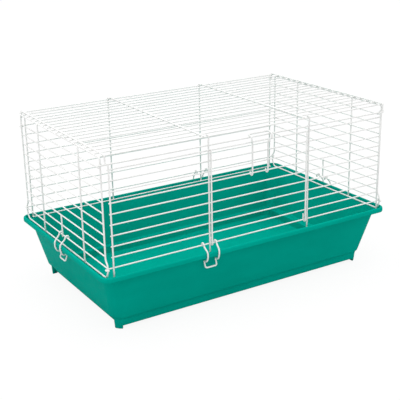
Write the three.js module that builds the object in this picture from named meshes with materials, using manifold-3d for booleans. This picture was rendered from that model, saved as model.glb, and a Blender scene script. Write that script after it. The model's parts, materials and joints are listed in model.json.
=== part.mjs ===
// Wire rabbit cage on a deep moulded tray.
// Millimetres, +Z up, the door side faces -Y. The origin is on the table, under the middle of the tray.
import * as THREE from 'three';
import { mergeVertices } from 'three/addons/utils/BufferGeometryUtils.js';
import Module from 'manifold-3d';

const wasm = await Module();
wasm.setup();

// ---------------------------------------------------------------- driving dimensions

const cageLength = 732; // between the frame wires of the two end panels
const cageDepth = 428; // between the row wires of the front and back panels
const rowPitch = 23.2; // height between neighbouring row wires
const rowWire = 1.45; // radius of the thin wires
const frameWire = 1.8; // radius of the thick wires
const gap = 0.3; // air left between pieces that rest on each other

const footHeight = 8.5;
const skirtHeight = 15;
const wallBottom = 30.5; // height where the sloping wall begins
const rimBottom = 135;
const ledgeTop = 138.5; // the wire panels stand on this ledge
const lipTop = 145.8;
const rimOverhang = 14.5; // rim edge beyond the planes of the wire panels
const sheet = 2.8; // thickness of the moulded plastic

// ---------------------------------------------------------------- derived places

const wireSides = 6;
const equalArea = Math.sqrt((2 * Math.PI) / (wireSides * Math.sin((2 * Math.PI) / wireSides)));
const halfLength = cageLength / 2;
const halfDepth = cageDepth / 2;
const layer = 2.8; // centre distance of two welded wires that cross
const bottomWireHeight = ledgeTop + gap + frameWire * equalArea;
const rowZero = bottomWireHeight + 0.9 * rowPitch;
const lastRow = 10;
const endRowRise = 3.5; // the end panels' rows pass just over the front panel's
const backRowRise = 2 * endRowRise; // and the back panel's just over theirs
const backRowPitch = 22.4;
const frontTopHeight = rowZero + 9.5 * rowPitch;
const endTopHeight = rowZero + endRowRise + lastRow * rowPitch;
const topPanelHeight = endTopHeight + 3.9; // the top panel rests on the end frames
const wrapRadius = 4.3; // centre line of a wire end wrapped round another wire

const frontPosts = [-120.5, 144.6];
const frontEndPosts = [-352, 358];
const backPosts = [-136.5, 126.7];
const backEndPosts = [-354, 354];
const doorSides = [-114.5, 139.4];
const latchSides = [-9.8, 31.7];
const innerPostShares = [0.26, 0.763]; // of the depth, from the front
const topCrossWires = [-131.4, 131.4];
const clipHalfWidth = 16;

const rowHeight = (row) => rowZero + row * rowPitch;
const backRowHeight = (row) => rowZero + backRowRise + row * backRowPitch;
const rowsBetween = (first, last) => Array.from({ length: last - first + 1 }, (unused, step) => first + step);
const point = (x, y, z) => new THREE.Vector3(x, y, z);
const radians = THREE.MathUtils.degToRad;

// ---------------------------------------------------------------- solids

// A three.js geometry as a solid that can be joined and cut.
function solid(geometry) {
  const bare = geometry.clone();
  bare.deleteAttribute('normal');
  bare.deleteAttribute('uv');
  const merged = mergeVertices(bare, 1e-4);
  return new wasm.Manifold(new wasm.Mesh({
    numProp: 3,
    vertProperties: new Float32Array(merged.attributes.position.array),
    triVerts: new Uint32Array(merged.index.array),
  }));
}

function geometryOf(body) {
  const mesh = body.getMesh();
  const geometry = new THREE.BufferGeometry();
  geometry.setAttribute('position', new THREE.BufferAttribute(mesh.vertProperties, 3));
  geometry.setIndex(new THREE.BufferAttribute(mesh.triVerts, 1));
  geometry.computeVertexNormals();
  return geometry;
}

const join = (bodies) => bodies.reduce((whole, body) => whole.add(body));

// A path through given points. The cross-section stands square to the bisector at each bend.
class WirePath extends THREE.Curve {
  constructor(points) {
    super();
    this.points = points;
  }

  getPoint(t) {
    const place = t * (this.points.length - 1);
    const first = Math.min(Math.floor(place), this.points.length - 2);
    return this.points[first].clone().lerp(this.points[first + 1], place - first);
  }

  getPointAt(u) {
    return this.getPoint(u);
  }

  getTangentAt(u) {
    const last = this.points.length - 1;
    const index = Math.round(u * last);
    const tangent = new THREE.Vector3();
    if (index > 0) tangent.add(this.points[index].clone().sub(this.points[index - 1]).normalize());
    if (index < last) tangent.add(this.points[index + 1].clone().sub(this.points[index]).normalize());
    return tangent.normalize();
  }
}

// A wire of six flat sides with the same area as the round wire.
function wire(points, radius) {
  const section = new THREE.Shape();
  for (let side = 0; side < wireSides; side += 1) {
    const angle = (2 * Math.PI * (side + 0.5)) / wireSides;
    const x = radius * equalArea * Math.cos(angle);
    const y = radius * equalArea * Math.sin(angle);
    if (side === 0) section.moveTo(x, y);
    else section.lineTo(x, y);
  }
  const settings = { extrudePath: new WirePath(points), steps: points.length - 1 };
  return solid(new THREE.ExtrudeGeometry(section, settings));
}

// Corner points with each inner corner rounded off over the given length.
function rounded(corners, length, steps = 3) {
  const points = [corners[0]];
  for (let index = 1; index < corners.length - 1; index += 1) {
    const corner = corners[index];
    const back = corners[index - 1].clone().sub(corner);
    const ahead = corners[index + 1].clone().sub(corner);
    const start = corner.clone().addScaledVector(back.clone().normalize(), Math.min(length, back.length() / 2.1));
    const end = corner.clone().addScaledVector(ahead.clone().normalize(), Math.min(length, ahead.length() / 2.1));
    points.push(...new THREE.QuadraticBezierCurve3(start, corner, end).getPoints(steps));
  }
  points.push(corners[corners.length - 1]);
  return points;
}

// Points on an arc about a centre: across and up are the directions at 0 and 90 degrees.
function arc(centre, across, up, radius, fromDegrees, toDegrees, steps) {
  const points = [];
  for (let step = 0; step <= steps; step += 1) {
    const angle = radians(fromDegrees + ((toDegrees - fromDegrees) * step) / steps);
    points.push(centre.clone()
      .addScaledVector(across, radius * Math.cos(angle))
      .addScaledVector(up, radius * Math.sin(angle)));
  }
  return points;
}

const alongX = point(1, 0, 0);
const alongY = point(0, 1, 0);
const alongZ = point(0, 0, 1);

// A block of rounded-rectangle rings, one for each level { z, halfX, halfY, radius }.
function ringBlock(levels) {
  const unit = 1;
  const halfSide = 2 * unit;
  const outline = new THREE.Shape();
  outline.absarc(halfSide, halfSide, unit, 0, Math.PI / 2);
  outline.absarc(-halfSide, halfSide, unit, Math.PI / 2, Math.PI);
  outline.absarc(-halfSide, -halfSide, unit, Math.PI, 1.5 * Math.PI);
  outline.absarc(halfSide, -halfSide, unit, 1.5 * Math.PI, 2 * Math.PI);
  const steps = levels.length - 1;
  const settings = { depth: steps, steps, bevelEnabled: false, curveSegments: 4 };
  const geometry = new THREE.ExtrudeGeometry(outline, settings);
  const places = geometry.attributes.position;
  for (let index = 0; index < places.count; index += 1) {
    const level = levels[Math.round(places.getZ(index))];
    const sideX = Math.sign(places.getX(index));
    const sideY = Math.sign(places.getY(index));
    const turnX = (places.getX(index) - sideX * halfSide) / unit;
    const turnY = (places.getY(index) - sideY * halfSide) / unit;
    const x = sideX * (level.halfX - level.radius) + turnX * level.radius;
    const y = sideY * (level.halfY - level.radius) + turnY * level.radius;
    places.setXYZ(index, x, y, level.z);
  }
  return solid(geometry);
}

// ---------------------------------------------------------------- tray

const rimHalfX = halfLength + rimOverhang;
const rimHalfY = halfDepth + rimOverhang;

// One level of the tray, inset from the rim's outline; the two ends can be set further in.
function ring(z, inset, radius, endInset = inset) {
  return { z, halfX: rimHalfX - endInset, halfY: rimHalfY - inset, radius };
}

const wallInset = 13.5; // wall under the rim
const draft = 24.5; // the wall leans in by this much from rim to wallBottom
const skirtInset = wallInset + draft + 5;
const skirtTop = footHeight + skirtHeight;

function trayBody() {
  const slope = draft / (rimBottom - wallBottom);
  const endRecess = 10; // the skirt stands this much further in at the two ends
  const recessed = (z, inset, radius) => ring(z, inset, radius, inset + endRecess);
  const shell = ringBlock([
    recessed(footHeight, skirtInset + 1, 7),
    recessed(skirtTop, skirtInset, 7),
    recessed(wallBottom - 3, wallInset + draft + 3.5, 8),
    ring(wallBottom, wallInset + draft, 27),
    ring(rimBottom + 1, wallInset - slope, 28),
  ]);
  const rim = ringBlock([
    ring(rimBottom, 0.8, 20),
    ring(rimBottom + 1, 0, 21),
    ring(lipTop - 4.5, 0, 21),
    ring(lipTop - 1.3, 1.3, 20),
    ring(lipTop, 4, 18),
  ]);
  const ledge = ringBlock([
    ring(ledgeTop, 7, 15),
    ring(lipTop + 1, 6, 16),
  ]);
  const hollow = ringBlock([
    recessed(footHeight + sheet, skirtInset + sheet + 1, 22),
    recessed(wallBottom + 0.5, skirtInset + sheet, 22),
    ring(wallBottom + 3.5, wallInset + draft + sheet - 3.5 * slope, 24),
    ring(lipTop + 2, wallInset + sheet - slope * (lipTop + 2 - rimBottom), 25),
  ]);
  return shell.add(rim).subtract(ledge).subtract(hollow).add(trayFeet());
}

// Four feet that carry the rounded corners of the wall down to the table.
function trayFeet() {
  const footSide = 16.5;
  const under = 0.2; // the columns lie this far inside the skirt's face, so that the two merge cleanly
  const column = ringBlock([
    ring(0, skirtInset + 2, 23),
    ring(skirtTop, skirtInset + under, 25),
    ring(wallBottom - 3, wallInset + draft + 3.5 + under, 26),
    ring(wallBottom, wallInset + draft + under, 27),
  ]);
  const corners = [];
  for (const sideX of [-1, 1]) {
    for (const sideY of [-1, 1]) {
      const block = new THREE.BoxGeometry(2 * footSide, 2 * footSide, 3 * wallBottom);
      block.translate(sideX * (rimHalfX - skirtInset), sideY * (rimHalfY - skirtInset), 0);
      corners.push(solid(block));
    }
  }
  return column.intersect(join(corners));
}

// ---------------------------------------------------------------- wire panels

// End of a row wire that turns in and wraps round an end frame's post. side is -1 or +1 in x;
// face is -1 at the front and +1 at the back.
function wrappedEnd(side, face, post) {
  const centre = point(side * halfLength, face * post.y, post.z);
  const across = alongX.clone().multiplyScalar(-side);
  const up = alongY.clone().multiplyScalar(-face);
  return arc(centre, across, up, wrapRadius, post.from, post.to, 6);
}

// A row wire across the front or back with both ends wrapped round the end frames' posts.
function wrappedRow(face, height, post, radius) {
  const place = { ...post, z: height };
  const left = wrappedEnd(-1, face, place).reverse();
  const right = wrappedEnd(1, face, place);
  const bend = halfLength - 12; // the wire turns off the panel's plane here
  const middle = [-bend, bend].map((x) => point(x, face * halfDepth, height));
  return wire([...left, ...middle, ...right], radius);
}

// The end frames' posts stand just inside the rows of the front and back, and joggle out round the
// bottom ones. A bottom row wraps round the joggle, an upper one round the straight part.
const straightPost = halfDepth - wrapRadius;
const joggle = halfDepth + wrapRadius;
const atJoggle = { y: joggle, from: 90, to: 290 };
const atStraight = { y: straightPost, from: 270, to: 20 };

const wireAlongX = (from, to, y, z, radius) => wire([point(from, y, z), point(to, y, z)], radius);
const stub = 2.4; // a wire ends this far past the last wire that it is welded to

// A post with its top bent inwards over the edge wire of the top panel.
function hookedPost(x, face) {
  const post = face * (halfDepth + layer);
  const edge = point(x, face * halfDepth, topPanelHeight);
  const outward = alongY.clone().multiplyScalar(face);
  const leanStart = topPanelHeight - 12; // the post leans out here, to clear the edge wire
  return wire([
    point(x, post, ledgeTop + gap),
    point(x, post, leanStart),
    ...arc(edge, outward, alongZ, wrapRadius, 0, 160, 5),
  ], frameWire);
}

function shortPost(x, face, top) {
  const post = face * (halfDepth + layer);
  return wire([point(x, post, ledgeTop + gap), point(x, post, top)], frameWire);
}

function frontPanel() {
  const y = -halfDepth;
  const pieces = [
    wrappedRow(-1, rowZero, atJoggle, rowWire),
    wrappedRow(-1, frontTopHeight, atStraight, frameWire),
  ];
  for (const row of rowsBetween(1, 9)) {
    pieces.push(wireAlongX(frontEndPosts[0] - stub, frontPosts[0] + stub, y, rowHeight(row), rowWire));
    pieces.push(wireAlongX(frontPosts[1] - stub, frontEndPosts[1] + stub, y, rowHeight(row), rowWire));
  }
  for (const x of frontEndPosts) pieces.push(shortPost(x, -1, frontTopHeight + stub));
  for (const x of frontPosts) pieces.push(hookedPost(x, -1));
  return join(pieces);
}

function backPanel() {
  const y = halfDepth;
  const start = backEndPosts[0] - stub;
  const end = backEndPosts[1] + stub;
  const topRow = backRowHeight(9) + 1.1 * rowPitch;
  const pieces = [
    wrappedRow(1, backRowHeight(0), atJoggle, rowWire),
    wrappedRow(1, backRowHeight(9), atStraight, rowWire),
    wireAlongX(start, end, y, bottomWireHeight, rowWire),
    wireAlongX(start, end, y, topRow, rowWire),
  ];
  for (const row of rowsBetween(1, 8)) {
    pieces.push(wireAlongX(start, end, y, backRowHeight(row), rowWire));
  }
  for (const x of backEndPosts) pieces.push(shortPost(x, 1, topRow + stub));
  for (const x of backPosts) pieces.push(hookedPost(x, 1));
  return join(pieces);
}

// End panel in the plane x = 0, with its outside towards +X. Both ends use it; on the left it is
// turned half round.
function endPanel() {
  const low = bottomWireHeight;
  const high = endTopHeight;
  const cornerLength = 14;
  const joggleTop = rowZero + backRowRise + 3;
  const half = (face) => wire([
    point(0, -face * 0.5, low),
    ...rounded([
      point(0, face * (straightPost - cornerLength), low),
      point(0, face * straightPost, low),
      point(0, face * joggle, rowZero - 6),
      point(0, face * joggle, joggleTop),
      point(0, face * straightPost, joggleTop + 9),
      point(0, face * straightPost, high),
      point(0, face * (straightPost - cornerLength), high),
    ], 7),
    point(0, -face * 0.5, high),
  ], frameWire);
  const pieces = [half(-1), half(1)];
  for (const row of rowsBetween(0, 9)) {
    const reach = row === 0 ? joggle : straightPost;
    const height = rowHeight(row) + endRowRise;
    pieces.push(wire([point(0, -reach, height), point(0, reach, height)], rowWire));
  }
  for (const share of innerPostShares) {
    const y = -halfDepth + share * cageDepth;
    pieces.push(wire([point(layer, y, low), point(layer, y, high)], frameWire));
  }
  const shortTop = rowHeight(2) + endRowRise + stub;
  pieces.push(wire([point(layer, 0, rowHeight(0) + endRowRise - stub), point(layer, 0, shortTop)], frameWire));
  return join(pieces);
}

function topPanel() {
  const spaces = 18;
  const overhang = 1;
  const crossHeight = topPanelHeight + layer;
  const pieces = [];
  for (const step of rowsBetween(0, spaces)) {
    const y = -halfDepth + (step * cageDepth) / spaces;
    pieces.push(wireAlongX(-halfLength - overhang, halfLength + overhang, y, topPanelHeight, rowWire));
  }
  for (const x of topCrossWires) {
    pieces.push(wire([point(x, -halfDepth - stub, crossHeight), point(x, halfDepth + stub, crossHeight)], frameWire));
  }
  const hookY = halfDepth + 5;
  const hookLow = rowHeight(9.85);
  const lead = 3; // the hooks' tips turn out, to guide them over the panels
  for (const x of [-halfLength + 6, halfLength - 6]) {
    pieces.push(wire(rounded([
      point(x, -hookY - lead, hookLow - lead),
      point(x, -hookY, hookLow),
      point(x, -hookY, crossHeight),
      point(x, hookY, crossHeight),
      point(x, hookY, hookLow),
      point(x, hookY + lead, hookLow - lead),
    ], 4), frameWire));
  }
  return join(pieces);
}

// ---------------------------------------------------------------- door and latch

// The door turns about the front panel's bottom row, which is the origin here.
function doorPanel() {
  const pieces = [];
  for (const row of rowsBetween(1, 9)) {
    pieces.push(wireAlongX(doorSides[0] - stub, doorSides[1] + stub, 0, row * rowPitch, rowWire));
  }
  const tail = 13; // the wrapped end of a side wire stands this far up inside the bottom row
  for (const x of doorSides) {
    const axis = point(x, 0, 0);
    pieces.push(wire([
      point(x, wrapRadius, tail),
      ...arc(axis, alongY, alongZ, wrapRadius, 0, -180, 6),
      point(x, -layer, tail),
      point(x, -layer, 9 * rowPitch + stub),
    ], frameWire));
  }
  return join(pieces);
}

// One bent wire that turns about the door's row 6, which is the origin here, and snaps over the
// front panel's top wire.
function latchWire() {
  const topWire = frontTopHeight - rowHeight(6);
  const bridge = topWire + 5.6; // height of the bar that passes over the top wire
  const elbow = 3 * rowPitch - 2;
  const elbowRise = 8;
  const flare = 6; // the thumb grip is wider than the legs by this much on each side
  const standOff = 11; // the grip stands this far in front of the door
  const leg = (x, side) => [
    ...arc(point(x, 0, 0), alongY, alongZ, wrapRadius, 30, -180, 6),
    ...rounded([
      point(x, -wrapRadius, 6),
      point(x, -wrapRadius, elbow),
      point(x + side * flare, -standOff, elbow + elbowRise),
      point(x + side * flare, 2 - standOff, topWire + 4),
      point(x + side * flare, wrapRadius, bridge),
      point(x, wrapRadius, bridge),
    ], 4),
  ];
  return wire([...leg(latchSides[0], -1), ...leg(latchSides[1], 1).reverse()], frameWire);
}

// ---------------------------------------------------------------- tray clip

// A clip turns about a bottom row, which is the origin here, with its outside towards -Y. rise is the
// height of that row above rowZero. Each leg wraps over the row, bows out round the lip, hooks in
// under the rim and runs into the thumb loop.
function clipWire(rise) {
  const legOut = rimOverhang + 2.8; // the legs pass outside the rim
  const lipHeight = lipTop - rowZero - rise;
  const rimHeight = rimBottom - rowZero - rise;
  const hook = rimHeight - 9.5;
  const loop = rimHeight - 25;
  const leg = (side) => {
    const x = side * clipHalfWidth;
    const narrow = x - side * 1.5;
    return [
      ...arc(point(x, 0, 0), alongY.clone().negate(), alongZ, wrapRadius, 240, -10, 7),
      ...rounded([
        point(x, -6, -3.5),
        point(narrow, -legOut, lipHeight + 3.5),
        point(narrow, -legOut, rimHeight + 1),
        point(narrow, -12, hook),
        point(narrow, -2.2, hook + 0.5),
        point(narrow, -2.2, hook - 4),
        point(narrow, -7, loop),
        point(0, -7, loop),
      ], 5, 2),
    ];
  };
  const left = leg(-1);
  left.pop();
  return wire([...left, ...leg(1).reverse().slice(1)], frameWire);
}

// ---------------------------------------------------------------- assembly

const tealPlastic = () => new THREE.MeshStandardMaterial({ color: 0x009280, roughness: 0.45, metalness: 0 });
const whiteCoat = () => new THREE.MeshStandardMaterial({ color: 0xf2f2ee, roughness: 0.35, metalness: 0.1 });

const cage = new THREE.Group();

function place(name, body, material, parent = cage) {
  const mesh = new THREE.Mesh(geometryOf(body), material);
  mesh.name = name;
  parent.add(mesh);
  return mesh;
}

place('base_tray', trayBody(), tealPlastic());
place('front_panel', frontPanel(), whiteCoat());
place('back_panel', backPanel(), whiteCoat());
place('top_panel', topPanel(), whiteCoat());

for (const [name, side] of [['left_end_panel', -1], ['right_end_panel', 1]]) {
  const panel = place(name, endPanel(), whiteCoat());
  panel.position.x = side * halfLength;
  panel.rotation.z = side > 0 ? 0 : Math.PI;
}

const doorHinge = new THREE.Group();
doorHinge.position.set(0, -halfDepth, rowZero);
cage.add(doorHinge);
place('front_door', doorPanel(), whiteCoat(), doorHinge);
const latch = place('door_latch', latchWire(), whiteCoat(), doorHinge);
latch.position.z = 6 * rowPitch;

const clips = [
  ['front_tray_clip', frontPosts[0], -halfDepth, 0, 0],
  ['right_tray_clip', halfLength, 0, endRowRise, Math.PI / 2],
  ['back_tray_clip', backPosts[1], halfDepth, backRowRise, Math.PI],
  ['left_tray_clip', -halfLength, 0, endRowRise, -Math.PI / 2],
];
for (const [name, x, y, rise, turn] of clips) {
  const clip = place(name, clipWire(rise), whiteCoat());
  clip.position.set(x, y, rowZero + rise);
  clip.rotation.z = turn;
}

export default cage;
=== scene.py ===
"""Looks of the wire rabbit cage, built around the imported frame. Metres, +Z up, the door side faces -Y."""
import json
import math

import bmesh
import bpy
from mathutils import Matrix, Vector


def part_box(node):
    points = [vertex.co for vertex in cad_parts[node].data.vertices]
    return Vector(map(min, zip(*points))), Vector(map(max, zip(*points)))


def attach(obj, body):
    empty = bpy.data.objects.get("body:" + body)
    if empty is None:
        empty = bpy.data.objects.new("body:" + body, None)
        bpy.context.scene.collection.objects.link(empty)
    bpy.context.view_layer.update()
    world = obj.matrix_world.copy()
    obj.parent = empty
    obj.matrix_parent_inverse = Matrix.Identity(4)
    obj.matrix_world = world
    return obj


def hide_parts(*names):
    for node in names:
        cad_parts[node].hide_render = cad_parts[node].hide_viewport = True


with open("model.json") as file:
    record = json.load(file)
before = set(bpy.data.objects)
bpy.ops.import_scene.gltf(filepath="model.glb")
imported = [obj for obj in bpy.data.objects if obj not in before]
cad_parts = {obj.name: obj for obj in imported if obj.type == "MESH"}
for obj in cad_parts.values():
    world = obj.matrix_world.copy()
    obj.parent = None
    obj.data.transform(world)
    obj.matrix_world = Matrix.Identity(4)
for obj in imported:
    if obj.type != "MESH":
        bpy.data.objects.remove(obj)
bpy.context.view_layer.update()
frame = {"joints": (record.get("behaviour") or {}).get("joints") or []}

# ---------------------------------------------------------------- places from the frame

MM = 0.001
pivots = {joint["name"]: Vector(joint["pos_m"]) for joint in frame["joints"]}
hinge = pivots["door_hinge"]
latch_axis = pivots["latch_pivot"]
end_axis = pivots["right_clip_pivot"]
back_axis = pivots["back_clip_pivot"]
tray_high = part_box("base_tray")[1]
door_low, door_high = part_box("front_door")
latch_low, latch_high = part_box("door_latch")
front_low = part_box("front_panel")[0]

ROW_ZERO = hinge.z
PITCH = (latch_axis.z - hinge.z) / 6        # height between neighbouring rows
HALF_DEPTH = -hinge.y
HALF_LENGTH = end_axis.x
END_RISE = end_axis.z - ROW_ZERO            # the end panels' rows pass just over the front panel's
BACK_ZERO = back_axis.z                     # and the back panel's just over theirs
BACK_PITCH = 22.4 * MM                      # the back panel's rows stand a little closer together
THIN = PITCH / 16                           # radius of the row wires
THICK = 1.24 * THIN                         # radius of the posts and frames
STUB = 2.4 * MM                             # a wire ends this far past its last weld
LAYER = 0.86 * (THIN + THICK)               # centre distance of two welded wires that cross
WRAP = 4.3 * MM                             # centre line of a wire end wrapped round another wire
STRAIGHT = HALF_DEPTH - WRAP                # the end frames' posts stand just inside the rows
JOGGLE = HALF_DEPTH + WRAP                  # and joggle out round the bottom ones

RIM_X = tray_high.x
RIM_Y = tray_high.y
LIP_TOP = tray_high.z
RIM_DEPTH = 10.8 * MM                       # from the top of the lip to the rim's underside
FOOT = 8.5 * MM                             # the skirt's underside stands this far off the table

ALONG_X = Vector((1, 0, 0))
ALONG_Y = Vector((0, 1, 0))
ALONG_Z = Vector((0, 0, 1))


def row_height(row):
    return ROW_ZERO + row * PITCH


def back_row_height(row):
    return BACK_ZERO + row * BACK_PITCH


def add_object(name, data):
    """A new object in the scene that shows the data."""
    made = bpy.data.objects.new(name, data)
    bpy.context.scene.collection.objects.link(made)
    return made


def skin(mesh, rings):
    """Closes rings of vertices, from the first to the last, into a solid with two flat ends."""
    for low, high in zip(rings, rings[1:]):
        count = len(low)
        for index in range(count):
            other = (index + 1) % count
            mesh.faces.new((low[index], low[other], high[other], high[index]))
    mesh.faces.new(list(reversed(rings[0])))
    mesh.faces.new(rings[-1])


def add_piece(name, mesh, node, body, material):
    """Turns a finished mesh into the visible piece that stands in for a node of the frame."""
    data = bpy.data.meshes.new(name)
    bmesh.ops.recalc_face_normals(mesh, faces=mesh.faces)
    mesh.to_mesh(data)
    mesh.free()
    data.shade_smooth()
    data.materials.append(material)
    piece = add_object(name, data)
    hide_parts(node)
    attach(piece, body)


# ---------------------------------------------------------------- wire shapes

CUT_END = ((0.0, 0.45), (0.1, 0.8), (0.35, 0.97))     # a cut end's (setback, size) in wire radii
WELD_SPREAD = 1.5                           # a weld's build-up reaches this far along the wires,
WELD_DEPTH = 1.15                           # and this far across their layers, in wire radii



def rounded(corners, length, steps=6):
    """Corner points with each inner corner rounded off over the given length."""
    points = [corners[0]]
    for before, corner, after in zip(corners, corners[1:], corners[2:]):
        back = before - corner
        ahead = after - corner
        start = corner + back * min(length / back.length, 1 / 2.1)
        end = corner + ahead * min(length / ahead.length, 1 / 2.1)
        for step in range(steps + 1):
            t = step / steps
            points.append(start * (1 - t) ** 2 + corner * 2 * t * (1 - t) + end * t * t)
    points.append(corners[-1])
    return points


def arc(centre, across, up, radius, from_degrees, to_degrees, steps=14):
    """Points on an arc: across and up are the directions at 0 and 90 degrees."""
    points = []
    for step in range(steps + 1):
        angle = math.radians(from_degrees + (to_degrees - from_degrees) * step / steps)
        points.append(centre + across * (radius * math.cos(angle)) + up * (radius * math.sin(angle)))
    return points


class WireWork:
    """Collects the wires and welds of one piece in one mesh."""

    def __init__(self):
        self.mesh = bmesh.new()
        self.weld = self.mesh.verts.layers.float.new("weld")

    def ring(self, centre, side, up, radius, sides):
        turns = (2 * math.pi * step / sides for step in range(sides))
        return [
            self.mesh.verts.new(centre + side * (radius * math.cos(turn)) + up * (radius * math.sin(turn)))
            for turn in turns
        ]

    def wire(self, points, radius, sides=14):
        """A round wire through the points, with cut ends whose edges the coating has rounded."""
        count = len(points)
        steps = [(b - a).normalized() for a, b in zip(points, points[1:])]
        tangents = [steps[0]]
        tangents += [(a + b).normalized() for a, b in zip(steps, steps[1:])]
        tangents.append(steps[-1])
        side = tangents[0].orthogonal().normalized()
        rings = []
        for depth, size in CUT_END:
            rings.append((points[0] + tangents[0] * depth * radius, tangents[0], size * radius))
        for index in range(1, count - 1):
            stretch = 1 / max(0.5, steps[index].dot(tangents[index]))
            rings.append((points[index], tangents[index], radius * (1 + stretch) / 2))
        for depth, size in reversed(CUT_END):
            rings.append((points[-1] - tangents[-1] * depth * radius, tangents[-1], size * radius))
        built = []
        for centre, tangent, size in rings:
            side = (side - tangent * side.dot(tangent)).normalized()
            built.append(self.ring(centre, side, tangent.cross(side), size, sides))
        skin(self.mesh, built)

    def weld_at(self, place, normal):
        """The soft build-up of coating round a weld, flat across the two wires' layer direction."""
        turn = normal.to_track_quat("Z", "Y").to_matrix().to_4x4()
        scale = Matrix.Diagonal((WELD_SPREAD * THIN, WELD_SPREAD * THIN, WELD_DEPTH * THIN, 1))
        made = bmesh.ops.create_icosphere(
            self.mesh, subdivisions=2, radius=1, matrix=Matrix.Translation(place) @ turn @ scale)
        for vertex in made["verts"]:
            vertex[self.weld] = 1.0

    def finish(self, name, node, body):
        add_piece(name, self.mesh, node, body, WHITE)


# ---------------------------------------------------------------- materials

def new_material(name):
    material = bpy.data.materials.new(name)
    material.use_nodes = True
    return material, material.node_tree.nodes, material.node_tree.links


def noise(nodes, links, place, scale, detail=3.0, roughness=0.5):
    texture = nodes.new("ShaderNodeTexNoise")
    texture.inputs["Scale"].default_value = scale
    texture.inputs["Detail"].default_value = detail
    texture.inputs["Roughness"].default_value = roughness
    links.new(place, texture.inputs["Vector"])
    return texture.outputs["Fac"]


def ramp(nodes, links, value, low, high, from_low=0.35, from_high=0.65):
    """Maps a value from one range to another."""
    mapping = nodes.new("ShaderNodeMapRange")
    mapping.inputs["From Min"].default_value = from_low
    mapping.inputs["From Max"].default_value = from_high
    mapping.inputs["To Min"].default_value = low
    mapping.inputs["To Max"].default_value = high
    links.new(value, mapping.inputs["Value"])
    return mapping.outputs["Result"]


def mixed(nodes, links, factor, first, second, blend="MIX"):
    mix = nodes.new("ShaderNodeMix")
    mix.data_type = "RGBA"
    mix.blend_type = blend
    for name, value in (("Factor", factor), ("A", first), ("B", second)):
        socket = mix.inputs[name]
        if hasattr(value, "is_linked"):
            links.new(value, socket)
        else:
            socket.default_value = value
    return mix.outputs["Result"]


def bumped(nodes, links, height, distance, strength, normal=None):
    bump = nodes.new("ShaderNodeBump")
    bump.inputs["Distance"].default_value = distance
    bump.inputs["Strength"].default_value = strength
    links.new(height, bump.inputs["Height"])
    if normal is not None:
        links.new(normal, bump.inputs["Normal"])
    return bump.outputs["Normal"]


def coated_wire_material():
    """White powder coat: slightly uneven, and a little creamier where it builds up at welds."""
    material, nodes, links = new_material("white_powder_coat")
    shader = nodes["Principled BSDF"]
    place = nodes.new("ShaderNodeTexCoord").outputs["Object"]
    weld = nodes.new("ShaderNodeAttribute")
    weld.attribute_name = "weld"
    patches = ramp(nodes, links, noise(nodes, links, place, 22), 0.0, 1.0)
    base = mixed(nodes, links, patches, (0.795, 0.795, 0.785, 1), (0.845, 0.845, 0.835, 1))
    colour = mixed(nodes, links, weld.outputs["Fac"], base, (0.825, 0.82, 0.795, 1))
    links.new(colour, shader.inputs["Base Color"])
    links.new(ramp(nodes, links, noise(nodes, links, place, 90), 0.30, 0.46), shader.inputs["Roughness"])
    peel = noise(nodes, links, place, 1400, 2.0)
    links.new(bumped(nodes, links, peel, 0.05 * MM, 0.5), shader.inputs["Normal"])
    shader.inputs["Specular IOR Level"].default_value = 0.35
    return material


def tray_material():
    """Moulded teal polypropylene: fine grain, faint flow marks and a soft gloss, with painted shade that
    darkens its creases and recesses.
    """
    material, nodes, links = new_material("teal_moulded_plastic")
    shader = nodes["Principled BSDF"]
    place = nodes.new("ShaderNodeTexCoord").outputs["Object"]
    flow = nodes.new("ShaderNodeMapping")
    flow.inputs["Scale"].default_value = (1.0, 1.0, 3.0)
    links.new(place, flow.inputs["Vector"])
    clouds = ramp(nodes, links, noise(nodes, links, flow.outputs["Vector"], 5, 4), 0.0, 1.0)
    base = mixed(nodes, links, clouds, (0.0, 0.32, 0.246, 1), (0.0, 0.35, 0.27, 1))
    # painted shade: the base colour turns darker teal where ambient occlusion finds creases and recesses
    # close by
    occlusion = nodes.new("ShaderNodeAmbientOcclusion")
    occlusion.inputs["Distance"].default_value = 14 * MM
    occlusion.samples = 8
    painted_crease_shade = ramp(nodes, links, occlusion.outputs["AO"], 0.0, 1.0, 0.1, 0.6)
    colour = mixed(nodes, links, painted_crease_shade, (0.0, 0.25, 0.19, 1), base)
    links.new(colour, shader.inputs["Base Color"])
    links.new(ramp(nodes, links, noise(nodes, links, place, 60), 0.36, 0.46), shader.inputs["Roughness"])
    grain = noise(nodes, links, place, 900, 2.0)
    waves = noise(nodes, links, place, 12, 2.0)
    soft = bumped(nodes, links, waves, 0.3 * MM, 0.5)
    links.new(bumped(nodes, links, grain, 0.06 * MM, 0.6, soft), shader.inputs["Normal"])
    shader.inputs["Specular IOR Level"].default_value = 0.003
    shader.inputs["Specular Tint"].default_value = (0.0, 0.9, 0.75, 1)
    return material


WHITE = coated_wire_material()
TEAL = tray_material()

# ---------------------------------------------------------------- front and back panels

BOTTOM_WIRE = front_low.z + THICK * 1.1      # height of the panels' bottom wires
FRONT_TOP = row_height(9.5)
BACK_TOP = back_row_height(9) + 1.1 * PITCH
END_TOP = row_height(10) + END_RISE
TOP_LAYER = END_TOP + 3.9 * MM               # height of the top panel's lengthwise wires
FRONT_POSTS = (pivots["front_clip_pivot"].x, 0.3951 * HALF_LENGTH)
BACK_POSTS = (-0.373 * HALF_LENGTH, back_axis.x)
FRONT_END_POSTS = (-HALF_LENGTH + 14 * MM, HALF_LENGTH - 8 * MM)
BACK_END_POSTS = (-HALF_LENGTH + 12 * MM, HALF_LENGTH - 12 * MM)
POST_FOOT = front_low.z

AT_JOGGLE = (JOGGLE, 90, 290)
AT_STRAIGHT = (STRAIGHT, 270, 20)


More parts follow.
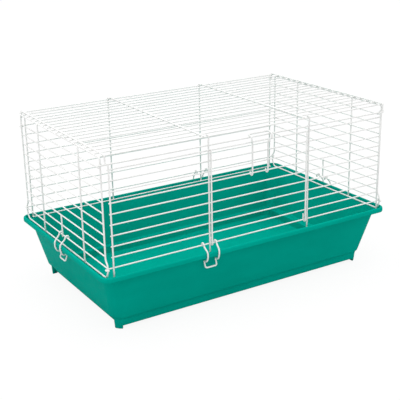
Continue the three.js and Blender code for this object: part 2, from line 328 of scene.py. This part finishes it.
def wrapped_row(work, face, height, post, radius):
    """A row whose two ends turn in and wrap round the end frames' posts. face is -1 front, +1 back."""
    y, from_degrees, to_degrees = post
    ends = []
    for side in (-1, 1):
        centre = Vector((side * HALF_LENGTH, face * y, height))
        ends.append(arc(centre, -side * ALONG_X, -face * ALONG_Y, WRAP, from_degrees, to_degrees))
    work.wire(list(reversed(ends[0])) + ends[1], radius)


def row(work, start, end, y, height, radius=THIN):
    work.wire([Vector((start, y, height)), Vector((end, y, height))], radius)


def hooked_post(work, x, face):
    """A post with its top bent inwards over the edge wire of the top panel."""
    y = face * (HALF_DEPTH + LAYER)
    edge = Vector((x, face * HALF_DEPTH, TOP_LAYER))
    start = Vector((x, y, POST_FOOT))
    lean = Vector((x, y, TOP_LAYER - 12 * MM))
    work.wire([start, lean] + arc(edge, face * ALONG_Y, ALONG_Z, WRAP - 0.2 * MM, -8, 160, 12), THICK)


def short_post(work, x, face, top):
    y = face * (HALF_DEPTH + LAYER)
    work.wire([Vector((x, y, POST_FOOT)), Vector((x, y, top))], THICK)


def face_welds(work, xs, face, heights):
    """Welds between the posts at xs and the rows at the heights of a front or back panel."""
    for x in xs:
        for height in heights:
            work.weld_at(Vector((x, face * (HALF_DEPTH + LAYER / 2), height)), ALONG_Y)


def front_panel():
    work = WireWork()
    rows = [row_height(number) for number in range(1, 10)]
    wrapped_row(work, -1, ROW_ZERO, AT_JOGGLE, THIN)
    wrapped_row(work, -1, FRONT_TOP, AT_STRAIGHT, THICK)
    for height in rows:
        row(work, FRONT_END_POSTS[0] - STUB, FRONT_POSTS[0] + STUB, -HALF_DEPTH, height)
        row(work, FRONT_POSTS[1] - STUB, FRONT_END_POSTS[1] + STUB, -HALF_DEPTH, height)
    for x in FRONT_END_POSTS:
        short_post(work, x, -1, FRONT_TOP + STUB)
    for x in FRONT_POSTS:
        hooked_post(work, x, -1)
    face_welds(work, FRONT_END_POSTS + FRONT_POSTS, -1, [ROW_ZERO, *rows, FRONT_TOP])
    work.finish("front_panel_wires", "front_panel", "cage")


def back_panel():
    work = WireWork()
    straight = [BOTTOM_WIRE] + [back_row_height(number) for number in range(1, 9)] + [BACK_TOP]
    wrapped_row(work, 1, BACK_ZERO, AT_JOGGLE, THIN)
    wrapped_row(work, 1, back_row_height(9), AT_STRAIGHT, THIN)
    for height in straight:
        row(work, BACK_END_POSTS[0] - STUB, BACK_END_POSTS[1] + STUB, HALF_DEPTH, height)
    for x in BACK_END_POSTS:
        short_post(work, x, 1, BACK_TOP + STUB)
    for x in BACK_POSTS:
        hooked_post(work, x, 1)
    face_welds(work, BACK_END_POSTS + BACK_POSTS, 1, [BACK_ZERO, back_row_height(9), *straight])
    work.finish("back_panel_wires", "back_panel", "cage")


# ---------------------------------------------------------------- end panels

INNER_POST_SHARES = (0.26, 0.763)            # of the depth; the two ends are one part, turned half round


def end_panel(node, side):
    """A round-cornered frame with rows across it. side is -1 for the left end and +1 for the right."""
    work = WireWork()
    x = side * HALF_LENGTH
    outer = x + side * LAYER
    corner = 14 * MM
    joggle_top = BACK_ZERO + 3 * MM
    for face in (-1, 1):
        inner = -face * 0.5 * MM
        outline = [
            (inner, BOTTOM_WIRE),
            (face * (STRAIGHT - corner), BOTTOM_WIRE),
            (face * STRAIGHT, BOTTOM_WIRE),
            (face * JOGGLE, ROW_ZERO - 6 * MM),
            (face * JOGGLE, joggle_top),
            (face * STRAIGHT, joggle_top + 9 * MM),
            (face * STRAIGHT, END_TOP),
            (face * (STRAIGHT - corner), END_TOP),
            (inner, END_TOP),
        ]
        work.wire(rounded([Vector((x, y, z)) for y, z in outline], 7 * MM, 8), THICK)
    for number in range(10):
        height = row_height(number) + END_RISE
        reach = JOGGLE if number == 0 else STRAIGHT
        work.wire([Vector((x, -reach, height)), Vector((x, reach, height))], THIN)
        for y in (-reach, reach):
            work.weld_at(Vector((x, y, height)), ALONG_X)
    for share in INNER_POST_SHARES:
        y = side * (-HALF_DEPTH + share * 2 * HALF_DEPTH)
        work.wire([Vector((outer, y, BOTTOM_WIRE)), Vector((outer, y, END_TOP))], THICK)
        for height in [BOTTOM_WIRE, END_TOP] + [row_height(number) + END_RISE for number in range(10)]:
            work.weld_at(Vector((x + side * LAYER / 2, y, height)), ALONG_X)
    short_low = ROW_ZERO + END_RISE - STUB
    short_high = row_height(2) + END_RISE + STUB
    work.wire([Vector((outer, 0, short_low)), Vector((outer, 0, short_high))], THICK)
    for number in range(3):
        work.weld_at(Vector((x + side * LAYER / 2, 0, row_height(number) + END_RISE)), ALONG_X)
    work.finish(node + "_wires", node, "cage")


# ---------------------------------------------------------------- top panel

LENGTHWISE = 19
TOP_CROSS = 0.359 * HALF_LENGTH              # the two inner cross wires


def top_panel():
    work = WireWork()
    cross_height = TOP_LAYER + LAYER
    reach = HALF_LENGTH + 1 * MM
    spacing = 2 * HALF_DEPTH / (LENGTHWISE - 1)
    depths = [-HALF_DEPTH + number * spacing for number in range(LENGTHWISE)]
    for y in depths:
        work.wire([Vector((-reach, y, TOP_LAYER)), Vector((reach, y, TOP_LAYER))], THIN)
    inner = (-TOP_CROSS, TOP_CROSS)
    for x in inner:
        end = HALF_DEPTH + STUB
        work.wire([Vector((x, -end, cross_height)), Vector((x, end, cross_height))], THICK)
    hook_y = HALF_DEPTH + 5 * MM
    hook_low = row_height(9.85)
    lead = 3 * MM
    outer = (-HALF_LENGTH + 6 * MM, HALF_LENGTH - 6 * MM)
    for x in outer:
        half = [(hook_y + lead, hook_low - lead), (hook_y, hook_low), (hook_y, cross_height)]
        front = [Vector((x, -y, z)) for y, z in half]
        back = [Vector((x, y, z)) for y, z in reversed(half)]
        work.wire(rounded(front + back, 4 * MM, 6), THICK)
    for x in inner + outer:
        for y in depths:
            work.weld_at(Vector((x, y, TOP_LAYER + LAYER / 2)), ALONG_Z)
    work.finish("top_panel_wires", "top_panel", "cage")


# ---------------------------------------------------------------- door, latch and clips

DOOR_SIDES = (door_low.x + STUB, door_high.x - STUB)


def front_door():
    """The door's side wires curl round the front panel's bottom row."""
    work = WireWork()
    tail = 13 * MM
    for number in range(1, 10):
        row(work, DOOR_SIDES[0] - STUB, DOOR_SIDES[1] + STUB, hinge.y, row_height(number))
    for x in DOOR_SIDES:
        axis = Vector((x, hinge.y, hinge.z))
        curl = arc(axis, ALONG_Y, ALONG_Z, WRAP, 0, -180)
        straight_start = axis + Vector((0, -LAYER, tail))
        top = Vector((x, hinge.y - LAYER, row_height(9) + STUB))
        work.wire([axis + Vector((0, WRAP, tail))] + curl + [straight_start, top], THICK)
        for number in range(1, 10):
            work.weld_at(Vector((x, hinge.y - LAYER / 2, row_height(number))), ALONG_Y)
    work.finish("front_door_wires", "front_door", "door")


def door_latch():
    """One bent wire that turns about a door row and passes over the front panel's top wire."""
    work = WireWork()
    flare = 6 * MM
    stand_off = 11 * MM
    bridge = FRONT_TOP + 5.6 * MM            # clear of the front panel's top wire
    elbow = row_height(9) - 2 * MM
    legs = (latch_low.x + flare + THICK * 1.1, latch_high.x - flare - THICK * 1.1)

    def leg(x, side):
        y = latch_axis.y
        curl = arc(Vector((x, y, latch_axis.z)), ALONG_Y, ALONG_Z, WRAP, 30, -180)
        corners = [
            (0, -WRAP, latch_axis.z + 6 * MM),
            (0, -WRAP, elbow),
            (side * flare, -stand_off, elbow + 8 * MM),
            (side * flare, 2 * MM - stand_off, FRONT_TOP + 4 * MM),
            (side * flare, WRAP, bridge),
            (0, WRAP, bridge),
        ]
        return curl + rounded([Vector((x + dx, y + dy, z)) for dx, dy, z in corners], 4 * MM)

    work.wire(leg(legs[0], -1) + list(reversed(leg(legs[1], 1))), THICK)
    work.finish("door_latch_wire", "door_latch", "latch")


def tray_clip(side_name, outward):
    """A clip that wraps over a bottom row, bows out round the lip, hooks in under the rim and ends in
    a thumb loop."""
    work = WireWork()
    axis = pivots[side_name + "_clip_pivot"]
    across = outward.cross(ALONG_Z)
    leg_out = RIM_X - HALF_LENGTH + 2.8 * MM
    lip = LIP_TOP - axis.z
    rim = lip - RIM_DEPTH
    wide = 16 * MM                           # half the width at the curls
    narrow = 14.5 * MM                       # and at the thumb loop
    loop = rim - 25 * MM

    def leg(side):
        curl = arc(axis + across * side * wide, outward, ALONG_Z, WRAP, 240, -10)
        corners = [
            (wide, 6 * MM, -3.5 * MM),
            (narrow, leg_out, lip + 3.5 * MM),
            (narrow, leg_out, rim + 1 * MM),
            (narrow, 12 * MM, rim - 9.5 * MM),
            (narrow, 2.2 * MM, rim - 9 * MM),
            (narrow, 2.2 * MM, rim - 13.5 * MM),
            (narrow, 7 * MM, loop),
            (0, 7 * MM, loop),
        ]
        points = [axis + across * (side * half) + outward * out + ALONG_Z * up for half, out, up in corners]
        return curl + rounded(points, 5 * MM)

    work.wire(leg(-1)[:-1] + list(reversed(leg(1)))[1:], THICK)
    work.finish(f"{side_name}_tray_clip_wire", f"{side_name}_tray_clip", f"{side_name}_clip")


# ---------------------------------------------------------------- tray

def ring_points(inset, end_inset, z, radius, steps=12):
    """Points round a rounded rectangle inside the rim's outline, by inset and by end_inset at the ends."""
    half_x = RIM_X - end_inset
    half_y = RIM_Y - inset
    points = []
    for quarter, (side_x, side_y) in enumerate(((1, 1), (-1, 1), (-1, -1), (1, -1))):
        for step in range(steps + 1):
            angle = math.radians(90 * (quarter + step / steps))
            x = side_x * (half_x - radius) + radius * math.cos(angle)
            y = side_y * (half_y - radius) + radius * math.sin(angle)
            points.append(Vector((x, y, z)))
    return points


def tray_profile():
    """(inset, end inset, height, corner radius) from the underside round the rim to the inner floor."""
    lip = LIP_TOP / MM
    rim = lip - RIM_DEPTH / MM
    foot = FOOT / MM
    recess = 10                              # the skirt stands this much further in at the two ends
    corners = [                              # (inset, recess, height, corner radius, softening), millimetres
        (60, recess, foot, 5, 0),
        (44, recess, foot, 7, 2),
        (43, recess, foot + 15, 7, 3),
        (41.5, recess, foot + 19, 8, 2),
        (38, 0, foot + 22, 27, 2),
        (13.5, 0, rim, 28, 3),
        (0.8, 0, rim, 20, 1.5),
        (0, 0, rim + 1, 21, 1),
        (0, 0, lip, 21, 4.8),
        (6, 0, lip, 16, 1.5),
        (7, 0, rim + 3.5, 15, 1),
        (15.5, 0, rim + 3.5, 25, 2),
        (40, 0, foot + 25.5, 24, 3),
        (45.8, recess, foot + 22.5, 22, 3),
        (46.8, recess, foot + 2.8, 22, 4),
        (64, recess, foot + 2.8, 18, 0),
    ]
    points = [Vector((corner[0], corner[0] + corner[1], *corner[2:4])) for corner in corners]
    profile = [points[0]]
    for index in range(1, len(corners) - 1):
        length = corners[index][-1]
        profile += rounded([points[index - 1], points[index], points[index + 1]], length, 5)[1:-1]
    profile.append(points[-1])
    return [point * MM for point in profile]


def base_tray():
    mesh = bmesh.new()
    rings = []
    for level in tray_profile():
        rings.append([mesh.verts.new(place) for place in ring_points(*level)])
    skin(mesh, rings)
    add_feet(mesh)
    add_piece("base_tray_shell", mesh, "base_tray", "cage", TEAL)


def add_feet(mesh):
    """Four feet that carry the wall's rounded corners down to the table."""
    inner = 59.5                             # inset of the feet's flat inner sides, in millimetres
    steps = 8                                # round each foot's outer corner
    levels = (                               # (height, inset, corner radius) from the table up, millimetres
        (0, 46, 22.5), (0.5, 45.3, 23), (1.6, 45, 23), (23.5, 43.2, 25), (27.5, 41.7, 26), (30.3, 38.4, 27))
    for side_x in (-1, 1):
        for side_y in (-1, 1):
            rings = []
            for height, inset, radius in levels:
                width = inner - inset - max(0, 1 - height)
                start = math.asin(1 - min(width, radius) / radius)
                offsets = []
                for step in range(steps + 1):
                    turn = start + (math.pi / 2 - 2 * start) * step / steps
                    offsets.append((radius * (1 - math.cos(turn)), radius * (1 - math.sin(turn))))
                offsets.append((width, width))
                ring = []
                for dx, dy in offsets:
                    x = side_x * (RIM_X - (inset + dx) * MM)
                    y = side_y * (RIM_Y - (inset + dy) * MM)
                    ring.append(mesh.verts.new((x, y, height * MM)))
                rings.append(ring)
            skin(mesh, rings)


# ---------------------------------------------------------------- stage, light and camera

def stage():
    floor_mesh = bpy.data.meshes.new("floor")
    size = 30
    corners = [(-size, -size, 0), (size, -size, 0), (size, size, 0), (-size, size, 0)]
    floor_mesh.from_pydata(corners, [], [(0, 1, 2, 3)])
    floor = add_object("floor", floor_mesh)
    material, nodes, links = new_material("pale_floor")
    shader = nodes["Principled BSDF"]
    place = nodes.new("ShaderNodeTexCoord").outputs["Object"]
    patches = ramp(nodes, links, noise(nodes, links, place, 3), 0.0, 1.0)
    paper = mixed(nodes, links, patches, (0.60, 0.60, 0.60, 1), (0.62, 0.62, 0.62, 1))
    links.new(paper, shader.inputs["Base Color"])
    shader.inputs["Roughness"].default_value = 0.9
    shader.inputs["Specular IOR Level"].default_value = 0.1
    seen = nodes.new("ShaderNodeLightPath").outputs["Is Camera Ray"]
    glow = nodes.new("ShaderNodeEmission")                        # a backlit sweep that looks just white
    glow.inputs["Strength"].default_value = 1.04
    sweep = nodes.new("ShaderNodeMixShader")
    links.new(ramp(nodes, links, seen, 0.0, 0.88, 0.0, 1.0), sweep.inputs["Fac"])
    links.new(shader.outputs["BSDF"], sweep.inputs[1])
    links.new(glow.outputs["Emission"], sweep.inputs[2])
    links.new(sweep.outputs["Shader"], nodes["Material Output"].inputs["Surface"])
    floor_mesh.materials.append(material)


def studio_world():
    """White light that is strongest overhead, and pure white where the camera sees past the floor."""
    world = bpy.data.worlds.new("studio")
    world.use_nodes = True
    nodes = world.node_tree.nodes
    links = world.node_tree.links
    direction = nodes.new("ShaderNodeSeparateXYZ")
    links.new(nodes.new("ShaderNodeTexCoord").outputs["Generated"], direction.inputs["Vector"])
    dome = ramp(nodes, links, direction.outputs["Z"], 0.58, 2.1, 0.0, 1.0)
    lit = nodes.new("ShaderNodeBackground")
    links.new(dome, lit.inputs["Strength"])
    seen = nodes["Background"]
    seen.inputs["Color"].default_value = (1, 1, 1, 1)
    choice = nodes.new("ShaderNodeMixShader")
    links.new(nodes.new("ShaderNodeLightPath").outputs["Is Camera Ray"], choice.inputs["Fac"])
    links.new(lit.outputs["Background"], choice.inputs[1])
    links.new(seen.outputs["Background"], choice.inputs[2])
    links.new(choice.outputs["Shader"], nodes["World Output"].inputs["Surface"])
    bpy.context.scene.world = world


def area_light(name, place, target, size, power):
    light = bpy.data.lights.new(name, "AREA")
    light.size = size
    light.energy = power
    light.specular_factor = 0.4
    lamp = add_object(name, light)
    lamp.location = place
    lamp.rotation_euler = (target - place).to_track_quat("-Z", "Y").to_euler()


def lights():
    middle = Vector((0, 0, 0.1))
    area_light("overhead", Vector((-0.25, -0.2, 2.4)), middle, 2.0, 10)
    area_light("side", Vector((-2.4, 0.3, 0.9)), middle, 1.4, 4)


def camera():
    """The viewing angle: from the front left, a little above, with the whole cage in the frame."""
    place = Vector((-1.0669, -1.7214, 0.8950))
    turn = math.radians(31.54)               # from straight ahead along +Y towards +X
    down = math.radians(19.587)
    roll = math.radians(-1.103)
    forward = Vector((math.sin(turn) * math.cos(down), math.cos(turn) * math.cos(down), -math.sin(down)))
    level_right = Vector((math.cos(turn), -math.sin(turn), 0))
    level_up = level_right.cross(forward)
    right = level_right * math.cos(roll) + level_up * math.sin(roll)
    up = level_up * math.cos(roll) - level_right * math.sin(roll)
    data = bpy.data.cameras.new("camera")
    data.sensor_width = 36
    data.lens = 80.03
    eye = add_object("camera", data)
    axes = Matrix((right, up, -forward)).transposed()
    eye.matrix_world = Matrix.Translation(place) @ axes.to_4x4()
    bpy.context.scene.camera = eye


# ---------------------------------------------------------------- build

front_panel()
back_panel()
end_panel("left_end_panel", -1)
end_panel("right_end_panel", 1)
top_panel()
front_door()
door_latch()
tray_clip("front", -ALONG_Y)
tray_clip("right", ALONG_X)
tray_clip("back", ALONG_Y)
tray_clip("left", -ALONG_X)
base_tray()
stage()
studio_world()
lights()
camera()
bpy.context.scene.view_settings.view_transform = "Standard"
